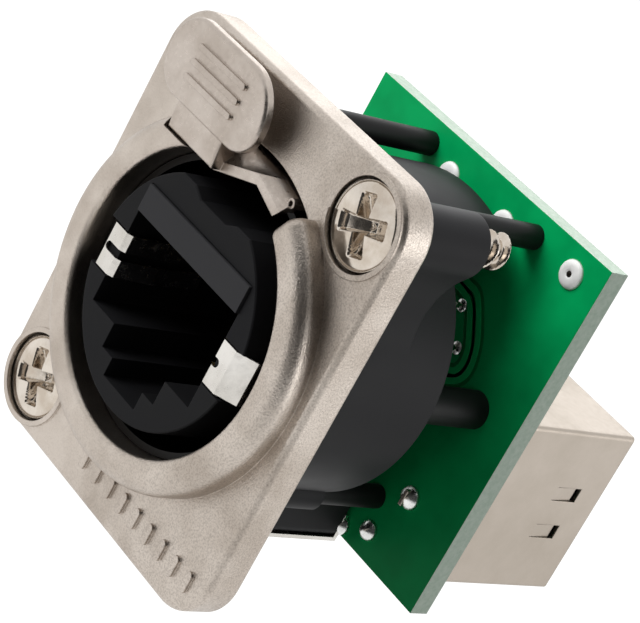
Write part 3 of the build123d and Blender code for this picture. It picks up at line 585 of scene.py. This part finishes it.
@dataclass
class FlangeScrews:
    """The two flange screws: domed heads with a crossed recess, and threaded shanks."""

    spacing_x: float = 19.0
    spacing_z: float = 24.0
    head_radius: float = 2.75
    head_front: float = -2.3
    dome: float = 0.35
    rim: float = 0.25
    rim_drop: float = 0.16
    rim_steepest: float = 0.999
    innermost: float = 0.02
    face_rings: int = 56
    rim_rings: int = 8
    rim_ring_from: float = 0.1
    cross_turn: float = 20.0
    cross_length: float = 3.9
    cross_width: float = 0.95
    cross_waist: float = 0.85
    cross_flare: float = 0.3
    cross_depth: float = 1.5
    cross_rise: float = 0.72
    cross_shallowest: float = 0.2
    wall_lean: float = 0.14
    end_lean: float = 0.12
    end_share: float = 0.2
    shank_radius: float = 1.0
    thread_radius: float = 1.25
    thread_root: float = 0.8
    thread_pitch: float = 1.08
    thread_hidden: float = 0.4
    thread_fade: float = 0.3
    ridge_half_turn: float = 0.2
    ridge_crest: float = 1.1
    ridge_power: float = 1.2
    levels_per_turn: int = 26
    plain_gap: float = 0.1
    boss_rear: float = 6.5
    tip: float = 9.95
    tip_length: float = 0.6
    tip_taper: float = 0.45
    steps: int = 144

    def head(self) -> np.ndarray:
        """Depth of the head's face over its disc.

        The dome is a parabola, and the outer rim falls by rim_drop along a quarter of an ellipse. Each
        wing of the cross is cross_waist of its width at the middle, and cross_flare wider at its end.
        Its depth falls from cross_depth by the share cross_rise towards that end, its side walls lean
        over wall_lean and its end over the share end_lean, and the deeper of the two wings counts.

        Returns:
            Grid of points, rings by steps, from the centre outwards.
        """
        angle = np.linspace(0, 2 * np.pi, self.steps, endpoint=False)
        face_end = self.head_radius - self.rim
        around = np.cos(np.linspace(self.rim_ring_from, 1, self.rim_rings) * np.pi / 2)
        radius = np.concatenate([np.linspace(self.innermost, face_end, self.face_rings),
                                 self.head_radius - self.rim * around])
        r, a = np.meshgrid(radius, angle, indexing="ij")
        x, z = r * np.cos(a), r * np.sin(a)
        depth = self.head_front - self.dome * (1 - (r / self.head_radius) ** 2)
        edge = np.clip((r - face_end) / self.rim, 0, self.rim_steepest)
        depth = depth + self.rim_drop * (1 - np.sqrt(1 - edge ** 2))
        turn = math.radians(self.cross_turn)
        u = x * math.cos(turn) + z * math.sin(turn)
        v = z * math.cos(turn) - x * math.sin(turn)
        recess = np.zeros_like(depth)
        for along, across in ((u, v), (v, u)):
            share = np.abs(along) / (self.cross_length / 2)
            half = self.cross_width / 2 * (self.cross_waist + self.cross_flare * share)
            inside = np.clip((half - np.abs(across)) / self.wall_lean + 0.5, 0, 1)
            reach = np.clip((1 - share) / self.end_lean + self.end_share, 0, 1)
            slope = np.clip(self.cross_depth * (1 - self.cross_rise * share), self.cross_shallowest, None)
            recess = np.maximum(recess, inside * reach * slope)
        return np.stack([x, depth + recess, z], axis=-1)

    def shank(self) -> np.ndarray:
        """The cone under the head, the plain shank and the coarse thread behind the boss.

        The thread is a narrow ridge on a thinner root. Its height is ridge_crest less the distance from
        the ridge's middle over ridge_half_turn, in turns of the helix, and no more than 1, which gives
        a small flat crest. The power ridge_power hollows its flanks a little. The last tip_length tapers
        with the square of the way along it.

        Returns:
            Grid of points, levels by steps, from the head's rim to the tip.
        """
        cone_end = self.head_front + self.head_radius - self.shank_radius
        start = self.boss_rear - self.thread_hidden
        count = int((self.tip - start) / self.thread_pitch * self.levels_per_turn)
        level = np.concatenate([[self.head_front, cone_end, start - self.plain_gap],
                                np.linspace(start, self.tip, count)])
        core = np.concatenate([[self.head_radius], np.full(count + 2, self.shank_radius)])
        angle = np.linspace(0, 2 * np.pi, self.steps, endpoint=False)
        y, a = np.meshgrid(level, angle, indexing="ij")
        phase = (y / self.thread_pitch - a / (2 * np.pi)) % 1.0
        ridge = np.clip(self.ridge_crest - np.abs(phase - 0.5) / self.ridge_half_turn, 0, 1)
        thread = self.thread_root + (self.thread_radius - self.thread_root) * ridge ** self.ridge_power
        fade = np.clip((y - start) / self.thread_fade, 0, 1)
        radius = core[:, None] * (1 - fade) + thread * fade
        along_tip = np.clip((y - self.tip + self.tip_length) / self.tip_length, 0, 1)
        radius = radius * (1 - self.tip_taper * along_tip ** 2)
        return np.stack([radius * np.cos(a), y, radius * np.sin(a)], axis=-1)

    def build(self) -> None:
        """Makes both screws in place of their plain CAD solids."""
        both = Surface("threaded_screws")
        rings = np.concatenate([self.head(), self.shank()])
        poles = np.array([[0, rings[0, :, 1].mean(), 0], [0, self.tip, 0]])
        for side in (1, -1):
            centre = np.array([side * self.spacing_x / 2, 0, side * self.spacing_z / 2])
            both.closed(rings + centre, poles + centre, flip=True)
        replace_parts(both.piece(BRIGHT_NICKEL, Slot.SCREWS), "mounting_screws")


@dataclass
class SolderJoints:
    """Solder on both faces of the board: full drops that wet their leads, and filled pads, each with a dark
    drop of painted shade in its pit.
    """

    board_front: float = 16.4
    board_rear: float = 18.0
    big_radius: float = 0.85
    big_height: float = 0.7
    pin_radius: float = 0.75
    small_radius: float = 0.48
    small_height: float = 0.5
    small_steps: int = 24
    wick_height: float = 0.3
    drop_lines: int = 14
    tip_share: float = 0.45
    skirt_rise: float = 0.8
    skirt_power: float = 0.6
    shell_x: float = 7.85
    shell_z: float = -7.65
    pin_x: float = 6.2
    pin_z: float = -11.6
    strip_x: float = 3.9
    strip_z: float = -12.85
    wires: int = 8
    board_pitch: float = 1.4
    row_spacing: float = 2.45
    rear_row: float = -5.45
    front_row: float = 2.45
    pad_radius: float = 1.0
    pad_rise: float = 0.3
    pad_crest: float = 0.2
    pad_lines: int = 16
    pit_radius: float = 0.3
    pit_depth: float = 0.1
    pit_shade_rise: float = 0.24
    pit_shade_overlap: float = 0.02
    pad_places: Tuple[Place, ...] = ((10.0, 11.6), (3.05, 10.95), (-3.05, 10.95))

    def on_face(self, radius: np.ndarray, rise: np.ndarray, front: bool) -> np.ndarray:
        """Closed profile of a form on one face of the board.

        Args:
            radius: Radii from the middle outwards, the first of them 0.
            rise: Height above the face at each.
            front: Whether it stands on the board's front face.

        Returns:
            Lines of (radius, depth), front pole first.
        """
        if front:
            lines = np.stack([radius, self.board_front - rise], axis=-1)
            return np.vstack([lines, [0, self.board_front]])
        lines = np.stack([radius, self.board_rear + rise], axis=-1)
        return np.vstack([[0, self.board_rear], lines[::-1]])

    def pad_profile(self, front: bool) -> np.ndarray:
        """Profile of a filled pad, with a pit in its middle.

        Across the ring the rise is part of an ellipse that is highest at the share pad_crest of the way
        out and reaches the board at the rim.

        Args:
            front: Whether it stands on the board's front face.

        Returns:
            Lines of (radius, depth), front pole first.
        """
        share = np.linspace(0, 1, self.pad_lines)
        radius = self.pit_radius + (self.pad_radius - self.pit_radius) * share
        from_crest = (share - self.pad_crest) / (1 - self.pad_crest)
        rise = self.pad_rise * np.sqrt(np.clip(1 - from_crest ** 2, 0, 1))
        return self.on_face(np.append(0, radius), np.append(self.pit_depth, rise), front)

    def drop_profile(self, radius: float, height: float, front: bool) -> np.ndarray:
        """Profile of a joint: a full skirt that rises to a rounded tip.

        The tip is a parabola out to tip_share of the radius. From there the rise falls to nothing at the
        foot, as a power of the distance left.

        Args:
            radius: Foot radius.
            height: Rise above the board.
            front: Whether it stands on the board's front face.

        Returns:
            Lines of (radius, depth), front pole first.
        """
        share = np.linspace(0, 1, self.drop_lines)
        tip = 1 - share ** 2
        skirt = self.skirt_rise * ((1 - share) / (1 - self.tip_share)) ** self.skirt_power
        return self.on_face(radius * share, height * np.where(share < self.tip_share, tip, skirt), front)

    def places(self, row: float) -> List[Place]:
        """Centres of a jack's staggered joints.

        Args:
            row: Height of the lower row. Every other joint stands row_spacing above it.

        Returns:
            Places as (x, z), in millimetres.
        """
        across = (np.arange(self.wires) - (self.wires - 1) / 2) * self.board_pitch
        heights = row + (np.arange(1, self.wires + 1) % 2) * self.row_spacing
        return list(zip(across, heights))

    def joints(self) -> Surface:
        """Turns the drops round the shell's tabs, the pins, the strip's tail and both jacks' wires.

        Returns:
            The surface with all of them.
        """
        joints = Surface("solder_fillets")
        big = self.drop_profile(self.big_radius, self.big_height, True)
        lesser = self.drop_profile(self.pin_radius, self.big_height, True)
        for side in (-1, 1):
            joints.lathe(big, (side * self.shell_x, 0, self.shell_z))
            joints.lathe(lesser, (side * self.pin_x, 0, self.pin_z))
        joints.lathe(lesser, (self.strip_x, 0, self.strip_z))
        for row, height, front in ((self.rear_row, self.small_height, True),
                                   (self.front_row, self.small_height, False),
                                   (self.front_row, self.wick_height, True)):
            small = self.drop_profile(self.small_radius, height, front)
            for x, z in self.places(row):
                joints.lathe(small, (x, 0, z), self.small_steps)
        return joints

    def pads(self) -> Surface:
        """Turns the filled pads on both faces of the board.

        Returns:
            The surface with all of them.
        """
        pads = Surface("solder_pads")
        for x, z in self.pad_places:
            for front in (True, False):
                pads.lathe(self.pad_profile(front), (x, 0, z))
        return pads

    def pit_shade(self) -> Surface:
        """Turns a dark drop in each pit of the board's front face: painted shade for the shaded hole there.

        Returns:
            The surface with all of them.
        """
        pit_shade = Surface("pit_shade_drops")
        drop = self.drop_profile(self.pit_radius + self.pit_shade_overlap, self.pit_shade_rise, True)
        for x, z in self.pad_places:
            pit_shade.lathe(drop, (x, -self.pit_depth, z), self.small_steps)
        return pit_shade

    def build(self) -> None:
        """Makes all solder in place of the plain CAD domes and pads, and a dark drop of painted shade in each
        pad's pit.
        """
        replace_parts(self.joints().piece(SOLDER, Slot.SOLDER), "solder_joints")
        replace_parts(self.pads().piece(PAD_TIN, Slot.SOLDER), "plated_pads")
        # Dark drops in the pads' pits: painted shade for the shaded holes there.
        self.pit_shade().piece(PIT_SHADE_DROP, Slot.SOLDER)


@dataclass
class BoardTraces:
    """Traces under the board's solder mask, beside the front wires, with bare laminate along them."""

    board_front: float = 16.4
    trace_width: float = 0.45
    trace_rise: float = 0.035
    gap_width: float = 1.0
    gap_rise: float = 0.012
    sunk: float = 0.05
    steps_per_leg: int = 10
    routes: Tuple[Tuple[Place, ...], ...] = (
        ((1.0, 6.4), (3.1, 6.35), (4.3, 6.1), (5.85, 4.3), (6.5, 3.1), (6.75, 1.9), (6.4, 0.9), (5.3, 0.1)),
        ((0.7, 5.6), (2.6, 5.7), (4.0, 5.3), (5.05, 4.0), (5.75, 2.9), (5.95, 1.9), (5.6, 1.1), (4.4, 0.7)),
    )

    def curve(self, points: Sequence[Place]) -> np.ndarray:
        """Smooth line through the points.

        Each leg between two points is a cubic whose slope at a point is half the step between that
        point's neighbours.

        Args:
            points: Places as (x, z), in millimetres.

        Returns:
            Array of places along the line.
        """
        p = np.array([points[0], *points, points[-1]], dtype=float)
        t = np.linspace(0, 1, self.steps_per_leg, endpoint=False)[:, None]
        legs = []
        for a, b, c, d in zip(p[:-3], p[1:-2], p[2:-1], p[3:]):
            start, end = (c - a) / 2, (d - b) / 2
            legs.append((2 * t ** 3 - 3 * t ** 2 + 1) * b + (t ** 3 - 2 * t ** 2 + t) * start
                        + (3 * t ** 2 - 2 * t ** 3) * c + (t ** 3 - t ** 2) * end)
        return np.vstack([*legs, p[-1:]])

    def ribbon(self, surface: Surface, line: np.ndarray, width: float, rise: float) -> None:
        """Adds a closed band along a line.

        Args:
            surface: The surface to add to.
            line: Places along its middle.
            width: Its width.
            rise: Height of its top above the board. Its underside is sunk in.
        """
        along = np.gradient(line, axis=0)
        along /= np.linalg.norm(along, axis=1)[:, None]
        side = np.stack([-along[:, 1], along[:, 0]], axis=-1) * width / 2
        left, right = line + side, line - side
        top, bottom = self.board_front - rise, self.board_front + self.sunk
        corners = [(left, bottom), (left, top), (right, top), (right, bottom)]
        grid = np.stack([np.stack([at[:, 0], np.full(len(at), depth), at[:, 1]], axis=-1)
                         for at, depth in corners], axis=1)
        faces = ring_faces(len(line), len(corners)).tolist()
        last = len(corners) * (len(line) - 1)
        faces += [[3, 2, 1, 0], [last, last + 1, last + 2, last + 3]]
        surface.add(grid.reshape(-1, 3), faces)

    def build(self) -> None:
        """Makes the gaps and the traces, on both halves of the board."""
        for name, width, rise, finish in (("mask_gaps", self.gap_width, self.gap_rise, GAP_MASK),
                                          ("mask_traces", self.trace_width, self.trace_rise, TRACE_MASK)):
            surface = Surface(name)
            for route in self.routes:
                line = self.curve(route)
                self.ribbon(surface, line, width, rise)
                self.ribbon(surface, (line * np.array([-1.0, 1.0]))[::-1], width, rise)
            surface.piece(finish, Slot.BOARD, smooth=False)


@dataclass
class CadDressing:
    """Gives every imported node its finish."""

    finishes: Dict[str, Finish] = field(default_factory=lambda: dict(NODE_FINISHES))

    def build(self) -> None:
        """Sets each node's material slots."""
        for name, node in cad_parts.items():
            material = self.finishes[name].material()
            if not node.material_slots:
                node.data.materials.append(material)
            for place in node.material_slots:
                place.material = material
            LOG.info("node %s dressed in %s", name, material.name)


@dataclass(frozen=True)
class Softbox:
    """Square lamp: its direction from the object, distance and side in metres, and power in watts."""

    name: str
    towards: Point
    distance: float
    side: float
    watts: float
    mirrored: bool = True

    def build(self, aim: Point) -> None:
        """Hangs the lamp. Reflections show it where it is mirrored.

        Args:
            aim: Where it looks, in metres.
        """
        data = bpy.data.lights.new(self.name, "AREA")
        data.shape = "RECTANGLE"
        data.size = data.size_y = self.side
        data.energy = self.watts
        made = bpy.data.objects.new(self.name, data)
        bpy.context.scene.collection.objects.link(made)
        direction = Vector(self.towards).normalized()
        made.location = direction * self.distance + Vector(aim)
        made.visible_glossy = self.mirrored
        made.rotation_mode = "QUATERNION"
        made.rotation_quaternion = direction.to_track_quat("Z", "Y")


@dataclass
class Studio:
    """Pale floor, soft light and the camera at the photograph's angle."""

    eye: Point = (104.958, -106.909, 56.091)
    right: Point = (0.5393, 0.7085, 0.4551)
    up: Point = (-0.5533, -0.1092, 0.8258)
    away: Point = (-0.6348, 0.6972, -0.3332)
    lens: float = 143.22
    sensor: float = 36.0
    nearest: float = 0.005
    furthest: float = 20.0
    white: str = "#ffffff"
    ambient: float = 0.3
    floor_z: float = -70.0
    floor_half: float = 6.0
    floor_gleam: float = 0.89
    floor_tone: str = "#6e6d6b"
    aim: Point = (0.0, 0.012, 0.0)
    lamps: Tuple[Softbox, ...] = (
        Softbox("key", (-0.45, -0.60, 0.66), 0.42, 0.30, 2.0, mirrored=False),
        Softbox("gleam", (-0.60, 0.65, 0.40), 0.45, 0.30, 0.3),
        Softbox("right_back", (0.80, 0.50, 0.10), 0.45, 0.25, 0.4),
    )
    dark_side: Point = (0.74, -0.62, 0.26)
    dark_distance: float = 0.35
    dark_size: float = 0.8
    dark_tone: float = 0.05

    def camera(self) -> None:
        """Camera fitted to the photograph: the columns of its turn are right, up and back."""
        data = bpy.data.cameras.new("photo_camera")
        data.sensor_fit = "HORIZONTAL"
        data.sensor_width = self.sensor
        data.lens = self.lens
        data.clip_start, data.clip_end = self.nearest, self.furthest
        made = bpy.data.objects.new("photo_camera", data)
        bpy.context.scene.collection.objects.link(made)
        turn = Matrix((self.right, self.up, [-v for v in self.away])).transposed().to_4x4()
        made.matrix_world = Matrix.Translation(Vector(self.eye) * MM) @ turn
        bpy.context.scene.camera = made

    def screen(self, name: str, finish: str,
               corners: Sequence[Sequence[float]]) -> Tuple[bpy.types.Object, bpy.types.NodeTree]:
        """One flat face that isn't part of the object, with an empty material.

        Args:
            name: The object's name.
            finish: The material's name.
            corners: Its four corners in metres, in turn.

        Returns:
            The new object and its material's tree.
        """
        mesh = bpy.data.meshes.new(name)
        mesh.from_pydata(corners, [], [(0, 1, 2, 3)])
        made = bpy.data.objects.new(name, mesh)
        bpy.context.scene.collection.objects.link(made)
        material = bpy.data.materials.new(finish)
        material.use_nodes = True
        material.node_tree.nodes.clear()
        made.data.materials.append(material)
        return made, material.node_tree

    def seen(self, tree: bpy.types.NodeTree) -> bpy.types.NodeSocket:
        """Tells the rays that see a surface from those that only light things.

        Args:
            tree: The tree to add to.

        Returns:
            Factor that is 1 for rays from the camera, mirrored or through glass, and 0 for others.
        """
        rays = add_node(tree, "ShaderNodeLightPath")
        either = add_node(tree, "ShaderNodeMath", {"operation": "MAXIMUM"},
                          {0: rays.outputs["Is Camera Ray"], 1: rays.outputs["Is Glossy Ray"]})
        return add_node(tree, "ShaderNodeMath", {"operation": "MAXIMUM"},
                        {0: either.outputs[0], 1: rays.outputs["Is Transmission Ray"]}).outputs[0]

    def card(self) -> None:
        """Dark card beside the camera that only reflections see, for the darker bands in the metal."""
        direction = Vector(self.dark_side).normalized()
        side = direction.orthogonal().normalized() * self.dark_size / 2
        other = direction.cross(side)
        middle = direction * self.dark_distance
        corners = [middle - side - other, middle + side - other, middle + side + other, middle - side + other]
        made, tree = self.screen("dark_side", "dark_side", corners)
        glow = add_node(tree, "ShaderNodeEmission", {"Strength": self.dark_tone})
        add_node(tree, "ShaderNodeOutputMaterial", links={"Surface": glow.outputs[0]})
        made.visible_camera = False
        made.visible_diffuse = False
        made.visible_shadow = False

    def world(self) -> None:
        """Even ambient light, white to the camera and to reflections."""
        world = bpy.data.worlds.new("studio")
        bpy.context.scene.world = world
        world.use_nodes = True
        tree = world.node_tree
        tree.nodes.clear()
        strength = add_node(tree, "ShaderNodeMapRange", span(self.ambient, 1.0), {"Value": self.seen(tree)})
        light = add_node(tree, "ShaderNodeBackground", {"Color": linear(self.white)},
                         {"Strength": strength.outputs["Result"]})
        add_node(tree, "ShaderNodeOutputWorld", links={"Surface": light.outputs[0]})

    def floor(self) -> None:
        """Pale floor under the object.

        A glow lies over its matt shading, so that it keeps the object's shadow. The glow is white to the
        camera, floor_gleam to reflections, and casts no light.
        """
        half, level = self.floor_half, self.floor_z * MM
        corners = [(-half, -half, level), (half, -half, level), (half, half, level), (-half, half, level)]
        _, tree = self.screen("floor", "pale floor", corners)
        rays = add_node(tree, "ShaderNodeLightPath")
        gleam = add_node(tree, "ShaderNodeMapRange", span(self.floor_gleam, 1.0),
                         {"Value": rays.outputs["Is Camera Ray"]})
        strength = add_node(tree, "ShaderNodeMath", {"operation": "MULTIPLY"},
                            {0: self.seen(tree), 1: gleam.outputs["Result"]})
        glow = add_node(tree, "ShaderNodeEmission", {"Color": linear(self.white)},
                        {"Strength": strength.outputs[0]})
        matt = add_node(tree, "ShaderNodeBsdfDiffuse", {"Color": linear(self.floor_tone)})
        both = add_node(tree, "ShaderNodeAddShader", links={0: glow.outputs[0], 1: matt.outputs[0]})
        add_node(tree, "ShaderNodeOutputMaterial", links={"Surface": both.outputs[0]})

    def build(self) -> None:
        """Sets up the whole studio."""
        bpy.context.scene.view_settings.view_transform = "Standard"
        self.camera()
        self.world()
        self.floor()
        for lamp in self.lamps:
            lamp.build(self.aim)
        self.card()


def main() -> None:
    """Builds the sub-assemblies in order, then the studio."""
    logging.basicConfig(level=logging.INFO, format="%(name)s: %(message)s")
    for part in (CadDressing(), FlangeScrews(), SolderJoints(), BoardTraces(), Studio()):
        LOG.info("building %s", type(part).__name__)
        part.build()


if __name__ == "__main__":
    main()
